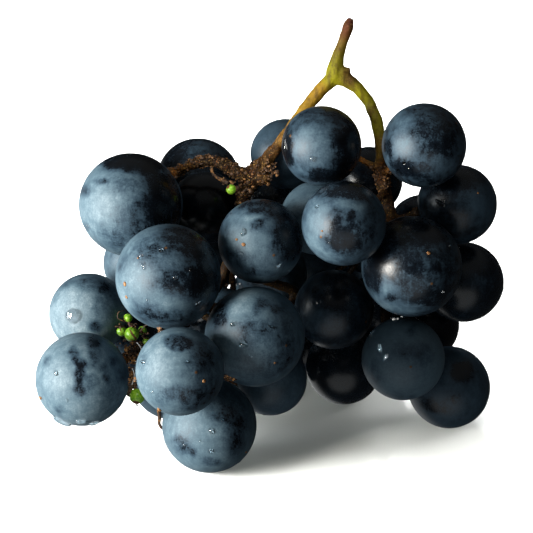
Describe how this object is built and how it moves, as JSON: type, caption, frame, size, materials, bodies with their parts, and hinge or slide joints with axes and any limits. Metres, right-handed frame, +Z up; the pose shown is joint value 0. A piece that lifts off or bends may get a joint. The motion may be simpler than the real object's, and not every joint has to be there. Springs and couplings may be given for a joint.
{
  "type": "bunch of grapes",
  "caption": "Bunch of dark blue table grapes on a forked woody stalk, lying on its lowest berries.",
  "frame": {"origin": "centre of the bunch's bounding box on the table", "axes": "+Z up; -Y toward the side that was pictured; +X to the right in that view"},
  "size_m": [0.114, 0.1032, 0.1],
  "materials": {
    "berry_skin": "glossy blue-black skin under a pale waxy bloom that is rubbed off in patches",
    "stalk_wood": "green to yellow-brown stalk, corky and brown at the nodes",
    "shot_berry": "smooth green skin of unswollen berries and their twigs"
  },
  "bodies": {
    "root": {"berry_01": "berry_skin", "berry_02": "berry_skin", "berry_03": "berry_skin", "berry_04": "berry_skin", "berry_05": "berry_skin", "berry_06": "berry_skin", "berry_07": "berry_skin", "berry_08": "berry_skin", "berry_09": "berry_skin", "berry_10": "berry_skin", "berry_11": "berry_skin", "berry_12": "berry_skin", "berry_13": "berry_skin", "berry_14": "berry_skin", "berry_15": "berry_skin", "berry_16": "berry_skin", "berry_17": "berry_skin", "berry_18": "berry_skin", "berry_19": "berry_skin", "berry_20": "berry_skin", "berry_21": "berry_skin", "berry_22": "berry_skin", "berry_23": "berry_skin", "berry_24": "berry_skin", "berry_25": "berry_skin", "berry_26": "berry_skin", "berry_27": "berry_skin", "berry_28": "berry_skin", "berry_29": "berry_skin", "berry_30": "berry_skin", "berry_31": "berry_skin", "berry_32": "berry_skin", "berry_33": "berry_skin", "berry_34": "berry_skin", "berry_35": "berry_skin", "berry_36": "berry_skin", "berry_37": "berry_skin", "berry_38": "berry_skin", "berry_39": "berry_skin", "berry_40": "berry_skin", "berry_41": "berry_skin", "berry_42": "berry_skin", "berry_43": "berry_skin", "berry_44": "berry_skin", "berry_45": "berry_skin", "berry_46": "berry_skin", "berry_47": "berry_skin", "stem": "stalk_wood", "sprig_left": "shot_berry", "sprig_low": "shot_berry", "sprig_top": "shot_berry"}
  },
  "joints": []
}
